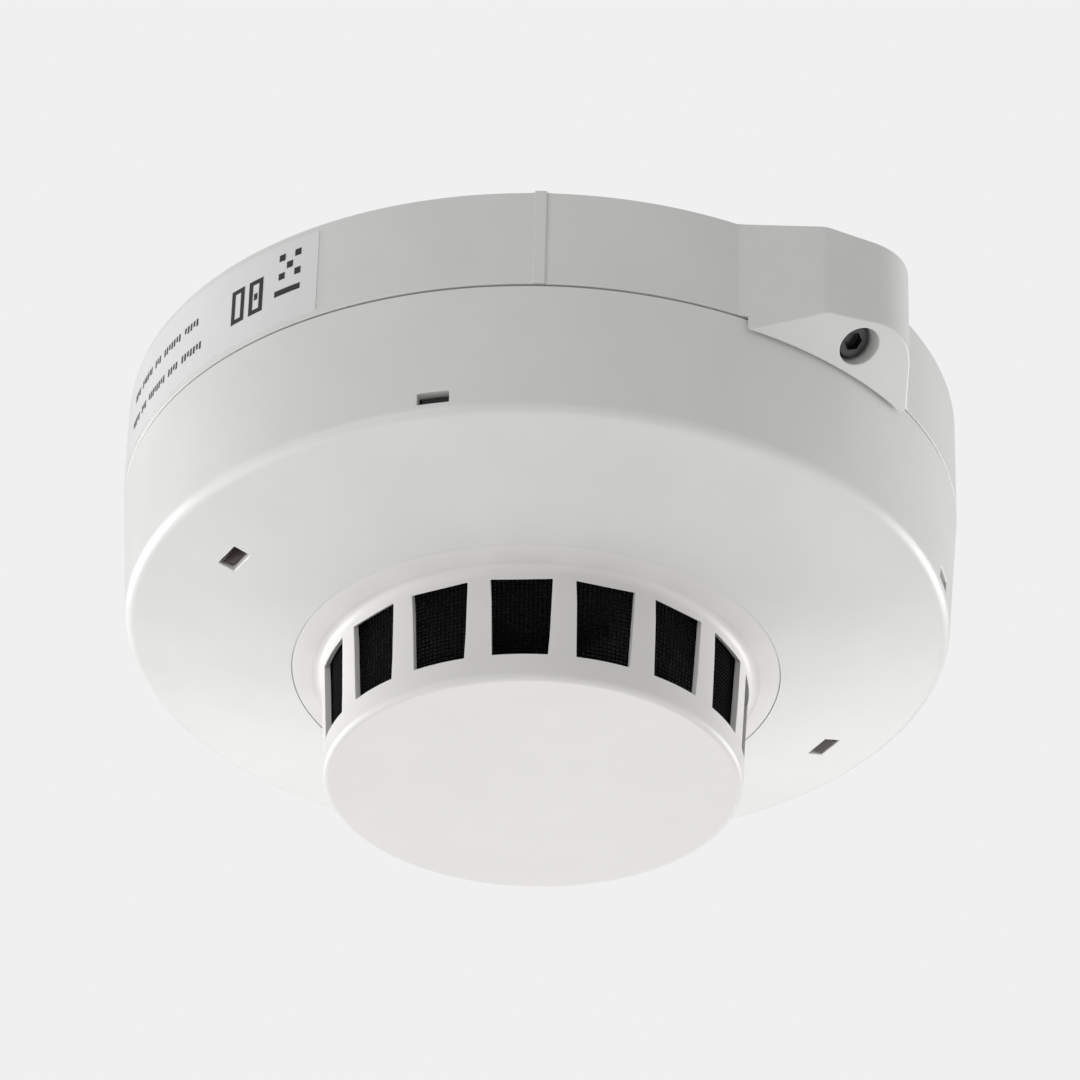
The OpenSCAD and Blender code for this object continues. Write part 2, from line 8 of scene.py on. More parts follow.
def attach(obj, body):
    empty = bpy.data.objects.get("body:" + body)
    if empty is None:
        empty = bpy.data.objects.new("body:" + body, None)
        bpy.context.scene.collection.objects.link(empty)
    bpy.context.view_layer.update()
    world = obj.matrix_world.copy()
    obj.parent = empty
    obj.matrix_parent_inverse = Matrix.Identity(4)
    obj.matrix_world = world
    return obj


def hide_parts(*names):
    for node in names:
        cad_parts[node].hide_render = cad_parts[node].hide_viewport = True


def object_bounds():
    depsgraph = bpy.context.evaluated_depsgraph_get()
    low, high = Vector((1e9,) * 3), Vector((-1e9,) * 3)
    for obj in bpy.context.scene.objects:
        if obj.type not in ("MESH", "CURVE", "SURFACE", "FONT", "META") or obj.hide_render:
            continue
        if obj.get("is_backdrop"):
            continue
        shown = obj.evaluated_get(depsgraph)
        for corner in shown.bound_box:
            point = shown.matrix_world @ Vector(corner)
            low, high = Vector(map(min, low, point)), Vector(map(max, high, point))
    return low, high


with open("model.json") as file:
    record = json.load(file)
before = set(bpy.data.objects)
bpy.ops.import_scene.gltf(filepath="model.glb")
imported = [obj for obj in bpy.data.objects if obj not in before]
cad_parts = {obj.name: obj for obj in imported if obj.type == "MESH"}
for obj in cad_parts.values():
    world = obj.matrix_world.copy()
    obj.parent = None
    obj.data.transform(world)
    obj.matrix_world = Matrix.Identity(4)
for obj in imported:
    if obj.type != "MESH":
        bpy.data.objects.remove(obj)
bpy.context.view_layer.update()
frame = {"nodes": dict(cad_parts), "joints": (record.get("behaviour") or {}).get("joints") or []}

# ---- camera ----
# The detector hangs above eye level, so the camera stands well in front of it and below, and looks up at it
# through a long lens.
camera = bpy.data.objects.new("camera", bpy.data.cameras.new("camera"))
bpy.context.scene.collection.objects.link(camera)
bpy.context.scene.camera = camera
camera.data.sensor_width = 36
camera.data.lens = 182.73
camera.data.clip_start = 0.01
stand = Vector((0, -0.554342, -0.370286))
aim = Vector((0.00006, 0, -0.014941))
roll = math.radians(1.5503)
turn = (aim - stand).to_track_quat("-Z", "Y").to_matrix() @ Matrix.Rotation(roll, 3, "Z")
camera.matrix_world = Matrix.Translation(stand) @ turn.to_4x4()

# ---- studio ----
# Soft boxes stand behind the detector, below it and to both sides, in an evenly lit white room with a
# plain pale floor far below.
bpy.context.scene.view_settings.view_transform = "Standard"


def soft_box(name, place, size, power):
    light = bpy.data.objects.new(name, bpy.data.lights.new(name, "AREA"))
    bpy.context.scene.collection.objects.link(light)
    light.data.shape = "RECTANGLE"
    light.data.size, light.data.size_y = size
    light.data.energy = power
    light.location = place
    light.rotation_euler = (Vector((0, 0, -0.025)) - Vector(place)).to_track_quat("-Z", "Y").to_euler()


soft_box("box_back_left", (-0.9, 0.5, -0.15), (0.5, 0.6), 6.8)
soft_box("box_back_right", (0.9, 0.5, -0.15), (0.5, 0.6), 5.7)
soft_box("box_behind", (0.1, 1.1, -0.45), (0.9, 0.5), 2.4)
soft_box("box_below", (0, -0.1, -1.0), (0.6, 0.6), 1.15)
soft_box("box_low_left", (-0.8, 0.1, -0.75), (0.6, 0.6), 1.3)
soft_box("box_low_right", (0.8, 0.1, -0.75), (0.6, 0.6), 0.8)
soft_box("box_front_left", (-0.7, -0.8, -0.1), (0.6, 0.6), 1.9)

room = bpy.data.worlds.new("room")
bpy.context.scene.world = room
room.use_nodes = True
room_nodes = room.node_tree.nodes
room_nodes.clear()
glow = room_nodes.new("ShaderNodeBackground")
glow.inputs["Color"].default_value = (1, 1, 1, 1)
glow.inputs["Strength"].default_value = 0.486
wall = room_nodes.new("ShaderNodeBackground")
wall.inputs["Color"].default_value = (0.879, 0.871, 0.871, 1)
path = room_nodes.new("ShaderNodeLightPath")
choice = room_nodes.new("ShaderNodeMixShader")
out = room_nodes.new("ShaderNodeOutputWorld")
room.node_tree.links.new(path.outputs["Is Camera Ray"], choice.inputs[0])
room.node_tree.links.new(glow.outputs[0], choice.inputs[1])
room.node_tree.links.new(wall.outputs[0], choice.inputs[2])
room.node_tree.links.new(choice.outputs[0], out.inputs[0])

bpy.ops.mesh.primitive_plane_add(size=8, location=(0, 0, -1.3))
floor = bpy.context.object
floor.name = "floor"
floor_paint = bpy.data.materials.new("floor_paint")
floor_paint.use_nodes = True
floor_paint.node_tree.nodes["Principled BSDF"].inputs["Base Color"].default_value = (0.75, 0.75, 0.75, 1)
floor.data.materials.append(floor_paint)
floor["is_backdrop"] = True

# ---- base housing ----
# The shallow round base that is screwed to the ceiling: one injection moulding in satin off-white plastic.
# It has a back plate with a cable entry and fixing slots, a side wall with an alignment rib, three bayonet
# ledges inside, four bosses for the terminals, and a lobe that holds the slanted locking screw.
MM = 0.001


def arc(centre_x, centre_y, radius, start, end, steps):
    """Points on an arc between two angles in degrees."""
    angles = [math.radians(start + (end - start) * i / steps) for i in range(steps + 1)]
    return [(centre_x + radius * math.cos(a), centre_y + radius * math.sin(a)) for a in angles]


def around(azimuth, radius, height=0):
    """The point at an azimuth, counted from the front towards the right, as seen from below."""
    a = math.radians(azimuth)
    return Vector((radius * math.sin(a), -radius * math.cos(a), height))


def closed_up(name):
    """Closes the mesh in edit mode, turns its faces outwards and leaves the piece at the origin."""
    bpy.ops.mesh.select_all(action="SELECT")
    bpy.ops.mesh.remove_doubles(threshold=0.0001)
    bpy.ops.mesh.fill_holes(sides=0)
    bpy.ops.mesh.select_all(action="SELECT")
    bpy.ops.mesh.normals_make_consistent(inside=False)
    bpy.ops.object.mode_set(mode="OBJECT")
    bpy.ops.object.transform_apply(location=True, rotation=True, scale=True)
    piece = bpy.context.object
    piece.name = piece.data.name = name
    return piece


def turned(name, outline, closed=True, steps=200, first=0):
    """A turned shape: a circle that is extruded and scaled along an outline of radius and height.
    Its facets are counted from a first azimuth, so that no cut falls along the edge of one."""
    bpy.ops.object.select_all(action="DESELECT")
    radius, height = outline[0]
    bpy.ops.mesh.primitive_circle_add(vertices=steps, radius=radius, location=(0, 0, height),
                                      rotation=(0, 0, math.radians(first)))
    bpy.ops.object.mode_set(mode="EDIT")
    for next_radius, next_height in outline[1:] + (outline[:1] if closed else []):
        bpy.ops.mesh.extrude_region_move(TRANSFORM_OT_translate={"value": (0, 0, next_height - height)})
        grow = next_radius / radius
        bpy.ops.transform.resize(value=(grow, grow, 1), center_override=(0, 0, 0))
        radius, height = next_radius, next_height
    return closed_up(name)


def drawn(name, plan, low, high):
    """A block with a drawn plan: one corner is extruded round the plan, filled and raised."""
    bpy.ops.object.select_all(action="DESELECT")
    x, y = plan[0]
    bpy.ops.mesh.primitive_plane_add(size=1, location=(x, y, low))
    bpy.ops.object.mode_set(mode="EDIT")
    bpy.ops.mesh.merge(type="CENTER")
    for next_x, next_y in plan[1:]:
        bpy.ops.mesh.extrude_region_move(TRANSFORM_OT_translate={"value": (next_x - x, next_y - y, 0)})
        x, y = next_x, next_y
    bpy.ops.mesh.select_all(action="SELECT")
    bpy.ops.mesh.edge_face_add()
    bpy.ops.mesh.extrude_region_move(TRANSFORM_OT_translate={"value": (0, 0, high - low)})
    return closed_up(name)


def block(name, azimuth, radius, width, depth, low, high):
    """A box that stands at an azimuth, with its outer face at a radius."""
    bpy.ops.object.select_all(action="DESELECT")
    middle = around(azimuth, radius - depth / 2, (low + high) / 2)
    bpy.ops.mesh.primitive_cube_add(size=1, location=middle, rotation=(0, 0, math.radians(azimuth)))
    bpy.context.object.scale = (width, depth, high - low)
    bpy.ops.object.mode_set(mode="EDIT")
    return closed_up(name)


def rod(name, middle, radius, length, direction=(0, 0, 1), steps=64):
    """A round rod about a direction."""
    bpy.ops.object.select_all(action="DESELECT")
    lean = Vector(direction).to_track_quat("Z", "Y").to_euler()
    bpy.ops.mesh.primitive_cylinder_add(vertices=steps, radius=radius, depth=length, location=middle,
                                        rotation=lean)
    bpy.ops.object.mode_set(mode="EDIT")
    return closed_up(name)


def ring_part(name, inner, outer, low, high, start, end):
    """A part of a ring between two azimuths."""
    steps = max(4, round((end - start) / 2))
    outside = arc(0, 0, outer, start - 90, end - 90, steps)
    inside = arc(0, 0, inner, end - 90, start - 90, steps)
    return drawn(name, outside + inside, low, high)


def combine(piece, tool, how):
    """Joins a tool body to a piece, cuts it away or keeps what they share, and then throws the tool away."""
    change = piece.modifiers.new("change", "BOOLEAN")
    change.operation = how
    change.object = tool
    change.solver = "EXACT"
    bpy.ops.object.select_all(action="DESELECT")
    bpy.context.view_layer.objects.active = piece
    bpy.ops.object.modifier_apply(modifier=change.name)
    bpy.data.objects.remove(tool)
    return piece


def round_edges(piece, width, where=lambda point: True, segments=3):
    """Cleans up flat faces, and rounds the sharp edges that lie where the mould rounds them."""
    bpy.ops.object.select_all(action="DESELECT")
    bpy.context.view_layer.objects.active = piece
    bpy.ops.object.mode_set(mode="EDIT")
    bpy.ops.mesh.select_mode(type="EDGE")
    bpy.ops.mesh.select_all(action="SELECT")
    bpy.ops.mesh.remove_doubles(threshold=0.02)
    bpy.ops.mesh.dissolve_limited(angle_limit=math.radians(0.2), use_dissolve_boundaries=False)
    bpy.ops.mesh.select_all(action="DESELECT")
    bpy.ops.mesh.edges_select_sharp(sharpness=math.radians(31))
    bpy.ops.object.mode_set(mode="OBJECT")
    corners = piece.data.vertices
    for edge in piece.data.edges:
        edge.select = edge.select and where((corners[edge.vertices[0]].co + corners[edge.vertices[1]].co) / 2)
    for face in piece.data.polygons:
        face.select = False
    for corner in corners:
        corner.select = False
    bpy.ops.object.mode_set(mode="EDIT")
    bpy.ops.mesh.bevel(offset=width, segments=segments, affect="EDGES", clamp_overlap=False)
    bpy.ops.mesh.select_mode(type="VERT")
    bpy.ops.object.mode_set(mode="OBJECT")
    return piece


def fit_out(piece, body, slot, material, *nodes):
    """Brings a piece from millimetres to metres, smooths it, gives it its finish and puts it on its body."""
    bpy.ops.object.select_all(action="DESELECT")
    bpy.context.view_layer.objects.active = piece
    piece.select_set(True)
    bpy.ops.object.mode_set(mode="EDIT")
    bpy.ops.mesh.select_all(action="SELECT")
    bpy.ops.transform.resize(value=(MM, MM, MM), center_override=(0, 0, 0))
    bpy.ops.object.mode_set(mode="OBJECT")
    bpy.ops.object.shade_smooth_by_angle(angle=math.radians(35))
    even = piece.modifiers.new("even", "WEIGHTED_NORMAL")
    even.keep_sharp = True
    even.weight = 80
    bpy.ops.object.modifier_apply(modifier=even.name)
    piece.data.materials.clear()
    piece.data.materials.append(material)
    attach(piece, body)
    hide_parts(*nodes)


def satin_plastic(name, colour, rough, spread=0.04, grain=7000, depth=0.00001):
    """Moulded plastic: a fine spark-eroded grain, faint flow clouds in its colour, and uneven gloss."""
    material = bpy.data.materials.new(name)
    material.use_nodes = True
    nodes, links = material.node_tree.nodes, material.node_tree.links
    shader = nodes["Principled BSDF"]
    place = nodes.new("ShaderNodeTexCoord")
    clouds = nodes.new("ShaderNodeTexNoise")
    clouds.inputs["Scale"].default_value = 90
    clouds.inputs["Detail"].default_value = 4
    tint = nodes.new("ShaderNodeValToRGB")
    tint.color_ramp.elements[0].position = 0.3
    tint.color_ramp.elements[0].color = (*[c * (1 - spread) for c in colour], 1)
    tint.color_ramp.elements[1].position = 0.7
    tint.color_ramp.elements[1].color = (*colour, 1)
    gloss = nodes.new("ShaderNodeMapRange")
    gloss.inputs["To Min"].default_value = rough - 0.05
    gloss.inputs["To Max"].default_value = rough + 0.05
    skin = nodes.new("ShaderNodeTexNoise")
    skin.inputs["Scale"].default_value = grain
    skin.inputs["Detail"].default_value = 2
    bump = nodes.new("ShaderNodeBump")
    bump.inputs["Strength"].default_value = 0.25
    bump.inputs["Distance"].default_value = depth
    links.new(place.outputs["Object"], clouds.inputs["Vector"])
    links.new(place.outputs["Object"], skin.inputs["Vector"])
    links.new(clouds.outputs["Fac"], tint.inputs["Fac"])
    links.new(tint.outputs["Color"], shader.inputs["Base Color"])
    links.new(clouds.outputs["Fac"], gloss.inputs["Value"])
    links.new(gloss.outputs["Result"], shader.inputs["Roughness"])
    links.new(skin.outputs["Fac"], bump.inputs["Height"])
    links.new(bump.outputs["Normal"], shader.inputs["Normal"])
    return material


base_r, base_wall, base_depth, plate = 50, 2.2, 12.7, 2.5
inner_r = base_r - base_wall
entry_r = 11
rib_az, rib_w, rib_proud = -1, 1.4, 0.35
# The ring is turned a little too tall, and cut level with the ceiling and with the head later on.
ring_low = -base_depth - 0.5
base = turned("base_moulding", [(entry_r, 1), (base_r, 1), (base_r, ring_low), (inner_r, ring_low),
                                (inner_r, -plate), (entry_r, -plate)], first=rib_az)

# The lobe has a front and a side flank, a round nose between them and a slanting front. Its underside
# slopes up outwards, and its skirt hangs over the head's rim between two azimuths.
front, side, nose_r, slant = 44.9, 42, 8, 27
nose_x, nose_y = side - nose_r, -34.85
front_blend_r, side_blend_r = 3, 5
slope, slope_low = math.tan(math.radians(30)), -14.86
skirt_drop, skirt_inside = 2.16, 33
skirt_start, skirt_end = math.radians(26.5), math.radians(55.3)


def lobe_plan(inset, corner_r=2.5):
    """The lobe's plan from its front flank round the slanting front and the nose to its side flank."""
    y, x, r = inset - front, side - inset, nose_r - inset
    lean = math.radians(slant)
    slant_x, slant_y = nose_x + r * math.sin(lean), nose_y - r * math.cos(lean)
    corner_x = slant_x - (slant_y - y) / math.tan(lean)
    bend_x = corner_x - corner_r * math.tan(lean / 2)
    return (arc(bend_x, y + corner_r, corner_r, -90, slant - 90, 4)
            + arc(nose_x, nose_y, r, slant - 90, 0, 12))


def flank_blend(radius, flank):
    """The centre of the small fillet between the ring and a flank that faces the front."""
    return math.sqrt((base_r - 0.05 + radius) ** 2 - (flank + radius) ** 2), -flank - radius


front_x, front_y = flank_blend(front_blend_r, front)
side_y, side_x = flank_blend(side_blend_r, side)
front_turn = math.degrees(math.atan2(-front_y, -front_x))
side_turn = math.degrees(math.atan2(side_y, side_x))
within_ring = [(33, -25), (16, -38)]
lobe = drawn("lobe", arc(front_x, front_y, front_blend_r, front_turn, 90, 4) + lobe_plan(0)
             + arc(-side_x, -side_y, side_blend_r, 180, side_turn, 5) + within_ring, -base_depth - 0.2, 2)
skirt = drawn("skirt", [(front * math.tan(skirt_start), -front)] + lobe_plan(0)
              + [(side, -side / math.tan(skirt_end)), (skirt_inside, -skirt_inside / math.tan(skirt_end)),
                 (skirt_inside * math.tan(skirt_start), -skirt_inside)],
              -base_depth - skirt_drop - 0.5, -base_depth + 0.5)
combine(lobe, skirt, "UNION")
slope_reach = 20
combine(lobe, turned("under_slope", [(1, slope_low), (base_r, slope_low),
                                     (base_r + slope_reach, slope_low + slope_reach * slope),
                                     (base_r + slope_reach, -30), (1, -30)], first=0.9), "DIFFERENCE")
combine(lobe, rod("ring_room", (0, 0, -8), base_r - 1, 30, steps=192), "DIFFERENCE")
combine(base, lobe, "UNION")
combine(base, block("rib", rib_az, base_r + rib_proud, rib_w, 1.5, -base_depth - 0.3, 1.5), "UNION")
combine(base, rod("ceiling", (0, 0, 5), base_r + 20, 10), "DIFFERENCE")
combine(base, rod("head_room", (0, 0, -base_depth - 3), base_r + 0.4, 6, steps=192), "DIFFERENCE")

lock_joint = next(joint for joint in frame["joints"] if joint["name"] == "lock_screw_turn")
lock_mouth = Vector(lock_joint["pos_m"]) / MM
lock_in = -Vector(lock_joint["axis"])
lock_az = math.degrees(math.atan2(lock_mouth.x, -lock_mouth.y))
pocket_depth = 8
pockets = drawn("pockets", lobe_plan(base_wall, 0.5) + [(side - base_wall, -20), (18, base_wall - front)],
                -pocket_depth, 1)
combine(pockets, rod("ring_keep", (0, 0, -5), base_r + 0.3, 20, steps=192), "DIFFERENCE")
combine(pockets, block("boss_keep", lock_az, 70, 7.2, 30, -12, 4), "DIFFERENCE")
combine(base, pockets, "DIFFERENCE")

ledge_top, ledge_t, ledge_r, stop_r, half_ledge = -8.2, 2, 44.6, 44.9, 10
for k in range(3):
    az = lock_az + 120 * k
    combine(base, ring_part("ledge", ledge_r, inner_r + 0.5, ledge_top - ledge_t, ledge_top,
                            az - half_ledge, az + half_ledge), "UNION")
    for start in (az + 9.4, az - 31.4):
        combine(base, ring_part("stop", stop_r, inner_r + 0.8, ledge_top - ledge_t + 0.3, -plate + 0.5,
                                start, start + 2), "UNION")
boss_r, boss_low, boss_w = 34.5, -6.5, 10
for az in (45, 135, 225, 315):
    combine(base, block("boss", az, 39, boss_w, 9, boss_low, -plate + 0.5), "UNION")
    combine(base, rod("boss_bore", around(az, boss_r, -5), 1.56, 6), "DIFFERENCE")
slot_x, slot_r = 30, 2.25
for quarter in range(4):
    fixing = drawn("fixing_slot", arc(slot_x + slot_r, 0, slot_r, -90, 90, 12)
                   + arc(slot_x - slot_r, 0, slot_r, 90, 270, 12), -plate - 1, 1)
    fixing.rotation_euler.z = math.pi / 2 * quarter
    combine(base, fixing, "DIFFERENCE")
combine(base, rod("earth_hole", around(18, 37, -2), 1.3, 3), "DIFFERENCE")
combine(base, rod("screw_bore", lock_mouth + lock_in * 5, 1.76, 14.4, lock_in), "DIFFERENCE")
combine(base, rod("insert_bore", lock_mouth + lock_in * 3.5, 2.22, 7, lock_in), "DIFFERENCE")
combine(base, rod("counterbore", lock_mouth + lock_in * 0.3, 2.4, 6.6, lock_in), "DIFFERENCE")


def moulded_edge(point):
    """True on every edge below the ceiling side, and on the ceiling side's outer rim."""
    return point.z < -0.05 or abs(math.hypot(point.x, point.y) - base_r) < 0.05


round_edges(base, 0.15, moulded_edge)
base_plastic = satin_plastic("base_plastic", (0.80, 0.80, 0.785), 0.34)
fit_out(base, "base", "base_plastic", base_plastic, "base_housing")

# ---- terminals ----
# Four nickel-plated spring strips, each clamped on its boss under a brass plate by a pan-head screw, and
# an earth post turned from brass. They are stamped, turned and plated metal, bright, with fine drawing marks.


def plated_metal(name, colour, rough, marks=900):
    """Plated or turned metal: fine drawing marks in its gloss, and a faint tarnish in its colour."""
    material = bpy.data.materials.new(name)
    material.use_nodes = True
    nodes, links = material.node_tree.nodes, material.node_tree.links
    shader = nodes["Principled BSDF"]
    shader.inputs["Metallic"].default_value = 1
    place = nodes.new("ShaderNodeTexCoord")
    stretch = nodes.new("ShaderNodeMapping")
    stretch.inputs["Scale"].default_value = (1, 1, 8)
    drawing = nodes.new("ShaderNodeTexNoise")
    drawing.inputs["Scale"].default_value = marks
    drawing.inputs["Detail"].default_value = 4
    tarnish = nodes.new("ShaderNodeTexNoise")
    tarnish.inputs["Scale"].default_value = 160
    tint = nodes.new("ShaderNodeValToRGB")
    tint.color_ramp.elements[0].position = 0.35
    tint.color_ramp.elements[0].color = (*[c * 0.8 for c in colour], 1)
    tint.color_ramp.elements[1].position = 0.65
    tint.color_ramp.elements[1].color = (*colour, 1)
    gloss = nodes.new("ShaderNodeMapRange")
    gloss.inputs["To Min"].default_value = rough - 0.1
    gloss.inputs["To Max"].default_value = rough + 0.1
    bump = nodes.new("ShaderNodeBump")
    bump.inputs["Strength"].default_value = 0.2
    bump.inputs["Distance"].default_value = 0.00001
    links.new(place.outputs["Object"], stretch.inputs["Vector"])
    links.new(stretch.outputs["Vector"], drawing.inputs["Vector"])
    links.new(place.outputs["Object"], tarnish.inputs["Vector"])
    links.new(tarnish.outputs["Fac"], tint.inputs["Fac"])
    links.new(tint.outputs["Color"], shader.inputs["Base Color"])
    links.new(drawing.outputs["Fac"], gloss.inputs["Value"])
    links.new(gloss.outputs["Result"], shader.inputs["Roughness"])
    links.new(drawing.outputs["Fac"], bump.inputs["Height"])
    links.new(bump.outputs["Normal"], shader.inputs["Normal"])
    return material


def finish_nodes(material, *names):
    """Gives the frame's own pieces their finish."""
    for name in names:
        frame["nodes"][name].data.materials.clear()
        frame["nodes"][name].data.materials.append(material)


nickel = plated_metal("nickel_strip", (0.62, 0.61, 0.58), 0.3)
brass = plated_metal("turned_brass", (0.72, 0.55, 0.26), 0.28)
zinc = plated_metal("zinc_plate", (0.66, 0.67, 0.69), 0.32)
finish_nodes(nickel, "contact_springs")
finish_nodes(brass, "clamp_plates", "earth_post", "lock_insert")
finish_nodes(zinc, "terminal_screws", "earth_screw", "lock_washer")

# ---- locking screw ----
# A small black-oxidised socket-head screw at the bottom of its slanted counterbore. It is turned, with a
# chamfered head, a hexagon socket and a cut thread, and its tip is pointed to grip the head.
sunk, head_r, head_l, shank_r, tip = 1.6, 2.1, 1.58, 1.5, 8.45
pitch, root_r = 0.5, shank_r - 0.28
thread = []
depth = sunk + head_l + 0.5
while depth + pitch < tip - 0.6:
    thread += [(shank_r, depth), (shank_r, depth + 0.06), (root_r, depth + 0.22), (root_r, depth + 0.3)]
    depth += pitch
head = [(head_r - 0.2, sunk), (head_r, sunk + 0.2), (head_r, sunk + head_l), (shank_r, sunk + head_l)]
screw = turned("socket_screw", head + thread + [(shank_r, tip - 0.5), (shank_r - 0.4, tip)],
               closed=False, steps=64)
combine(screw, rod("socket", (0, 0, sunk), 1.15, 2.2, steps=6), "DIFFERENCE")
screw.location = lock_mouth
screw.rotation_euler = lock_in.to_track_quat("Z", "Y").to_euler()
bpy.ops.object.select_all(action="DESELECT")
screw.select_set(True)
bpy.ops.object.transform_apply(location=True, rotation=True, scale=True)
round_edges(screw, 0.05, lambda point: point.z < 0, segments=2)
black_oxide = plated_metal("black_oxide", (0.09, 0.09, 0.088), 0.36)
fit_out(screw, "screw", "black_steel", black_oxide, "locking_screw")

# ---- rating label ----
# A thin white printed film, wrapped round the side of the base and held by its own adhesive. Its print is
# plain bars, dots and ticks in black ink, a few hundredths of a millimetre proud.
film, ink = 0.12, 0.025
label_start, label_end, label_low, label_high = -97, -31.6, -11.9, -0.9
label = ring_part("label", base_r, base_r + film, label_low, label_high, label_start, label_end)
label_film = satin_plastic("label_film", (0.84, 0.84, 0.835), 0.3, spread=0.02, grain=3000, depth=0.000005)
fit_out(label, "base", "label_film", label_film, "rating_label")

ink_r = base_r + film + ink
marks = []


def ink_bar(start, end, low, high):
    """A bar of ink between two azimuths and two heights."""
    marks.append(ring_part("ink_bar", base_r + film - ink, ink_r, low, high, start, end))


def ink_frame(start, end, low, high, stroke=0.6):
    """An open rectangle of ink."""
    turn = math.degrees(stroke / base_r)
    ink_bar(start, end, low, low + stroke)
    ink_bar(start, end, high - stroke, high)
    ink_bar(start, start + turn, low + stroke, high - stroke)
    ink_bar(end - turn, end, low + stroke, high - stroke)


ink_frame(-46.4, -44.0, -9.0, -4.3)
ink_frame(-43.1, -40.6, -9.0, -4.3)
ink_bar(-42.15, -41.55, -7.1, -6.2)
dot_step = 1.3
for row in range(3):
    for column in range(3):
        if (row + column) % 2 == 0:
            low = -5.9 + row * dot_step
            ink_bar(-37.9 + column * dot_step, -36.9 + column * dot_step, low, low + 0.9)
ink_bar(-38.5, -34.3, -8.1, -7.3)
tick_w, tick_step, word_gap = 0.34, 0.72, 0.9
for low, high, start, words in ((-5.5, -4.5, -54, (5, 7, 3, 6, 4)), (-9.2, -8.2, -53, (7, 4, 8, 3, 5))):
    az = start
    for letters in words:
        for letter in range(letters):
            foot = low + 0.25 * (letter % 3 == 1)
            marks.append(block("print_tick", az, ink_r, tick_w, 2 * ink, foot, high))
            az -= tick_step
        az -= word_gap
bpy.ops.object.select_all(action="DESELECT")
for mark in marks:
    mark.select_set(True)
bpy.context.view_layer.objects.active = marks[0]
bpy.ops.object.join()
marks[0].name = marks[0].data.name = "label_print"
label_ink = satin_plastic("label_ink", (0.025, 0.025, 0.027), 0.35, grain=3000, depth=0.000005)
fit_out(marks[0], "base", "label_film", label_ink)

# ---- head chassis ----
# The black back moulding of the head, in fine matt plastic. Its lugs slide over the base's ledges, its
# latches snap behind the cover's slots, and the board is screwed to its three posts.
black_plastic = satin_plastic("black_plastic", (0.014, 0.014, 0.014), 0.45, spread=0.2)
finish_nodes(black_plastic, "head_chassis", "sensor_carrier")
finish_nodes(nickel, "contact_blades")
finish_nodes(brass, "contact_rivets")
finish_nodes(zinc, "board_screws")
finish_nodes(label_film, "back_label")

# ---- circuit board ----
# A round board of glass laminate under green solder mask, with the copper runs showing through it as a
# lighter green, and the parts that are soldered to its face.


def solder_mask(name):
    """Green solder mask that lies a little higher over the copper runs, where it looks lighter."""
    material = bpy.data.materials.new(name)
    material.use_nodes = True
    nodes, links = material.node_tree.nodes, material.node_tree.links
    shader = nodes["Principled BSDF"]
    shader.inputs["Roughness"].default_value = 0.28
    place = nodes.new("ShaderNodeTexCoord")
    runs = nodes.new("ShaderNodeTexVoronoi")
    runs.feature = "DISTANCE_TO_EDGE"
    runs.inputs["Scale"].default_value = 260
    shade = nodes.new("ShaderNodeValToRGB")
    shade.color_ramp.interpolation = "CONSTANT"
    shade.color_ramp.elements[0].color = (0.035, 0.2, 0.08, 1)
    shade.color_ramp.elements[1].position = 0.12
    shade.color_ramp.elements[1].color = (0.012, 0.09, 0.035, 1)
    bump = nodes.new("ShaderNodeBump")
    bump.inputs["Strength"].default_value = 0.3
    bump.inputs["Distance"].default_value = 0.00003
    links.new(place.outputs["Object"], runs.inputs["Vector"])
    links.new(runs.outputs["Distance"], shade.inputs["Fac"])
    links.new(shade.outputs["Color"], shader.inputs["Base Color"])
    links.new(shade.outputs["Color"], bump.inputs["Height"])
    links.new(bump.outputs["Normal"], shader.inputs["Normal"])
    return material


def see_through(name, colour, clear):
    """Glass or clear moulding: a slightly wavy surface and a faintly clouded colour."""
    material = satin_plastic(name, colour, 0.1, spread=0.15, grain=600, depth=0.000004)
    material.node_tree.nodes["Principled BSDF"].inputs["Transmission Weight"].default_value = clear
    return material


chip_epoxy = satin_plastic("chip_epoxy", (0.03, 0.03, 0.032), 0.5, spread=0.2)
finish_nodes(solder_mask("solder_mask"), "circuit_board")
finish_nodes(chip_epoxy, "microcontroller", "bridge_rectifier", "chip_resistors")
finish_nodes(satin_plastic("fired_ceramic", (0.45, 0.34, 0.2), 0.5, spread=0.15), "chip_capacitors")
finish_nodes(satin_plastic("dipped_epoxy", (0.02, 0.02, 0.024), 0.2, spread=0.2), "sensing_thermistor",
             "reference_thermistor")
finish_nodes(plated_metal("can_aluminium", (0.68, 0.69, 0.71), 0.3), "smoothing_capacitor")
finish_nodes(plated_metal("tinned_leads", (0.74, 0.74, 0.73), 0.3), "controller_leads", "rectifier_leads",
             "reed_leads")
finish_nodes(see_through("reed_glass", (0.75, 0.88, 0.82), 0.85), "reed_switch")
red_lens = see_through("red_lens", (0.02, 0.004, 0.004), 0.1)
red_lens.node_tree.nodes["Principled BSDF"].inputs["Specular IOR Level"].default_value = 0.15
finish_nodes(red_lens, "indicator_leds")

# ---- light pipes ----
# Two short pipes moulded in clear red plastic. Each stands on its indicator by a flange and ends just
# behind its window in the face.
edge_z, edge_r = -29.1, 48.94
face_slope = math.tan(math.radians(13.8))


def face_z(radius):
    """The height of the head's conical face at a radius."""
    return edge_z - (edge_r - radius) * face_slope


window_az, window_r = -61, 40.24
pipe_w, pipe_d, pipe_behind, pipe_high = 3.6, 1.7, 0.3, -21.7
for name, az in (("light_pipe_left", window_az), ("light_pipe_right", window_az + 180)):
    pipe = block(name, az, window_r + pipe_d / 2, pipe_w, pipe_d, face_z(window_r) + pipe_behind, pipe_high)
    combine(pipe, block("flange", az, window_r + 1.8, 5.2, 3.6, -22.8, -21.8), "UNION")
    round_edges(pipe, 0.25)
    fit_out(pipe, "head", "indicator_lens", red_lens, "light_pipes")

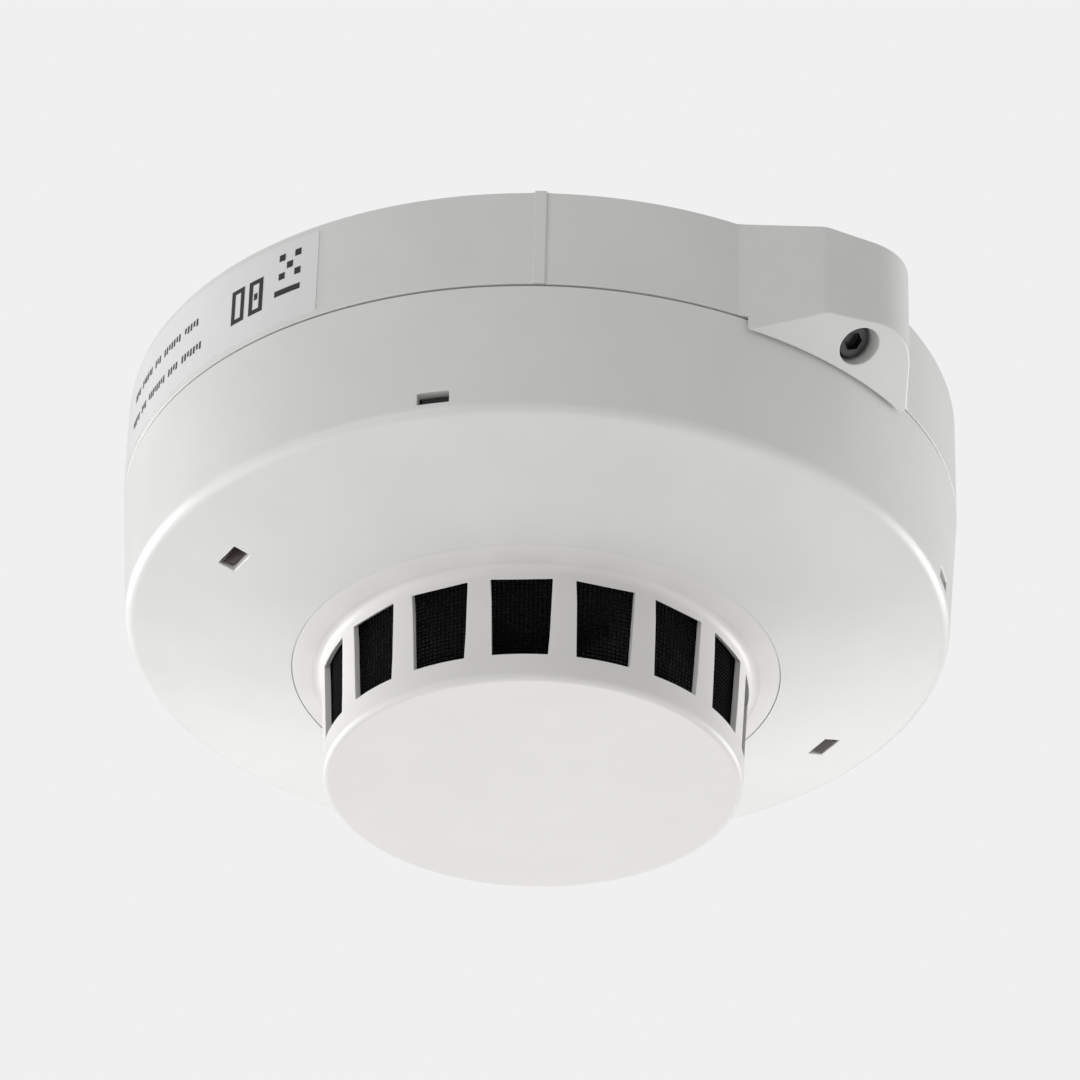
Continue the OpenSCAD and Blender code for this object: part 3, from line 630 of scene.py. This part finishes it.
# ---- insect screen ----
# A fine mesh of black-coated wire, formed into a slightly tapered sleeve that is pressed against the inside
# of the cage, between its cap and the sensor carrier.
screen_top, screen_bottom = -35.62, -47.38
screen_r_top, screen_r_bottom = 24.23, 23.58
half_wire = 0.14
rows, columns = 23, 290
sleeve = []
for row in range(rows + 1):
    down = row / rows
    sleeve.append((screen_r_top + (screen_r_bottom - screen_r_top) * down,
                   screen_top - half_wire + (screen_bottom - screen_top + 2 * half_wire) * down))
screen = turned("screen_sleeve", sleeve, closed=False, steps=columns)
bpy.ops.object.mode_set(mode="EDIT")
bpy.ops.mesh.select_all(action="DESELECT")
bpy.ops.object.mode_set(mode="OBJECT")
for face in screen.data.polygons:
    face.select = len(face.vertices) > 4
bpy.ops.object.mode_set(mode="EDIT")
bpy.ops.mesh.select_mode(type="FACE")
bpy.ops.mesh.delete(type="ONLY_FACE")
bpy.ops.mesh.select_mode(type="VERT")
bpy.ops.object.mode_set(mode="OBJECT")
wires = screen.modifiers.new("wires", "WIREFRAME")
wires.thickness = 0.26
wires.use_even_offset = False
bpy.context.view_layer.objects.active = screen
bpy.ops.object.modifier_apply(modifier=wires.name)
for end in (screen_top, screen_bottom):
    bpy.ops.object.mode_set(mode="EDIT")
    bpy.ops.mesh.select_all(action="DESELECT")
    bpy.ops.mesh.select_mode(type="EDGE")
    bpy.ops.mesh.select_non_manifold()
    bpy.ops.object.mode_set(mode="OBJECT")
    for edge in screen.data.edges:
        edge.select = edge.select and abs(screen.data.vertices[edge.vertices[0]].co.z - end) < 1
    bpy.ops.object.mode_set(mode="EDIT")
    bpy.ops.mesh.bridge_edge_loops()
    bpy.ops.mesh.select_mode(type="VERT")
    bpy.ops.object.mode_set(mode="OBJECT")
coated_wire = plated_metal("coated_wire", (0.012, 0.012, 0.012), 0.5)
fit_out(screen, "head", "screen_mesh", coated_wire, "insect_screen")

# ---- vent cage ----
# A white moulding that lets the room's air reach the sensor: a flange seated in the face, sixteen slender
# bars between tall windows, and a flat end cap. It snaps into the cover from outside.
flange_r, neck_r, foot_r, step = 28.9, 25.25, 24.57, 0.1
first_vent = -4.4
flange_low = face_z(flange_r) - step
fillet, seat_z, collar_r, collar_z = 1.1, -33, 26, -32.4
cap_z, cap_t, cap_round, cap_mid = -49.2, 1.8, 0.8, 18
neck_z = face_z(neck_r + fillet) - step
outside = ([(cap_mid, cap_z)] + arc(foot_r - cap_round, cap_z + cap_round, cap_round, -90, 0, 8)
           + arc(neck_r + fillet, neck_z - fillet, fillet, 180, 76.2, 8)
           + [(flange_r - 0.25, flange_low), (flange_r, flange_low + 0.25), (flange_r - 0.05, seat_z)])
inside = [(collar_r, seat_z), (collar_r, collar_z), (24.55, collar_z), (24.55, seat_z - 0.8), (24.49, -35.6),
          (23.79, cap_z + cap_t), (cap_mid, cap_z + cap_t)]
cage = turned("cage", outside + inside, closed=False, steps=160, first=first_vent)
vent_top, vent_bottom, vent_half_top, vent_half_bottom = -36.5, -46.06, 3.57, 3.19
vent = block("vent", 0, 30, 2 * vent_half_top, 10, vent_bottom, vent_top)
bpy.ops.object.mode_set(mode="EDIT")
bpy.ops.mesh.select_all(action="DESELECT")
bpy.ops.object.mode_set(mode="OBJECT")
for corner in vent.data.vertices:
    corner.select = corner.co.z < (vent_top + vent_bottom) / 2
bpy.ops.object.mode_set(mode="EDIT")
taper = vent_half_bottom / vent_half_top
bpy.ops.transform.resize(value=(taper, 1, 1), center_override=(0, 0, 0))
flare = math.tan(math.radians(36))
for sign, inner in ((1, True), (-1, False)):
    bpy.ops.mesh.select_all(action="DESELECT")
    bpy.ops.object.mode_set(mode="OBJECT")
    for corner in vent.data.vertices:
        corner.select = corner.co.z > (vent_top + vent_bottom) / 2 and (corner.co.y > -25) == inner
    bpy.ops.object.mode_set(mode="EDIT")
    lift = (neck_r - 20 if inner else 30 - neck_r) * flare
    bpy.ops.transform.translate(value=(0, 0, sign * lift))
bpy.ops.object.mode_set(mode="OBJECT")
vents = []
for k in range(16):
    opening = vent.copy()
    opening.data = vent.data.copy()
    bpy.context.scene.collection.objects.link(opening)
    opening.rotation_euler.z = math.radians(first_vent + 22.5 * k)
    vents.append(opening)
bpy.data.objects.remove(vent)
bpy.ops.object.select_all(action="DESELECT")
for opening in vents:
    opening.select_set(True)
bpy.context.view_layer.objects.active = vents[0]
bpy.ops.object.transform_apply(location=True, rotation=True, scale=True)
bpy.ops.object.join()
combine(cage, vents[0], "DIFFERENCE")
snap_high, half_snap = -30.4, 8
for k in range(4):
    az = 45 + 90 * k
    snap = ring_part("snap", 24.7, 25.9, seat_z + 0.1, snap_high, az - half_snap, az + half_snap)
    combine(snap, ring_part("hook", 25.5, 26.8, -31.3, snap_high - 0.1, az - 7.8, az + 7.8), "UNION")
    combine(cage, snap, "UNION")
round_edges(cage, 0.09, lambda point: math.hypot(point.x, point.y) < 28 and point.z > cap_z + 0.1)
cage_plastic = satin_plastic("cage_plastic", (0.82, 0.81, 0.79), 0.38)
fit_out(cage, "head", "cage_plastic", cage_plastic, "vent_cage")

# ---- head cover ----
# The white outer shell of the head: a side wall with a slight draft, a rounded lower edge and a shallow
# conical face with a hole for the cage. Four slots let a screwdriver free the latches, and two small
# windows show the indicators.
head_top, shell_inner_r, edge_round = -12.95, 47.6, 1.6
face_t, latch_az = 1.9, -14.6
hole_r, seat_r, seat_back = flange_r + 0.03, 26.2, -31.4
cover = turned("cover", [(shell_inner_r, head_top), (base_r, head_top)]
               + arc(edge_r - edge_round + 0.02, edge_z + edge_round * 0.8, edge_round, 0, -76.2, 12)
               + [(39, face_z(39)), (34, face_z(34)), (hole_r, face_z(hole_r)), (hole_r, seat_z + 0.02),
                  (seat_r, seat_z + 0.02), (seat_r, seat_back), (30.2, seat_back),
                  (shell_inner_r, face_z(shell_inner_r) + face_t)], first=latch_az)
slot_low, slot_high, slot_w = -27.525, -26.075, 3.7
for k in range(4):
    combine(cover, block("release_slot", latch_az + 90 * k, base_r + 2, slot_w, 6, slot_low, slot_high),
            "DIFFERENCE")
window_z = face_z(window_r)
for az in (window_az, window_az + 180):
    combine(cover, block("indicator_window", az, window_r + 1, 4, 2, window_z - 4, window_z + 4), "DIFFERENCE")
round_edges(cover, 0.15, lambda point: math.hypot(point.x, point.y) > 30)
head_plastic = satin_plastic("head_plastic", (0.82, 0.82, 0.80), 0.34)
fit_out(cover, "head", "head_plastic", head_plastic, "head_cover")

# ---- size ----
# The finished model's box.
low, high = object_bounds()
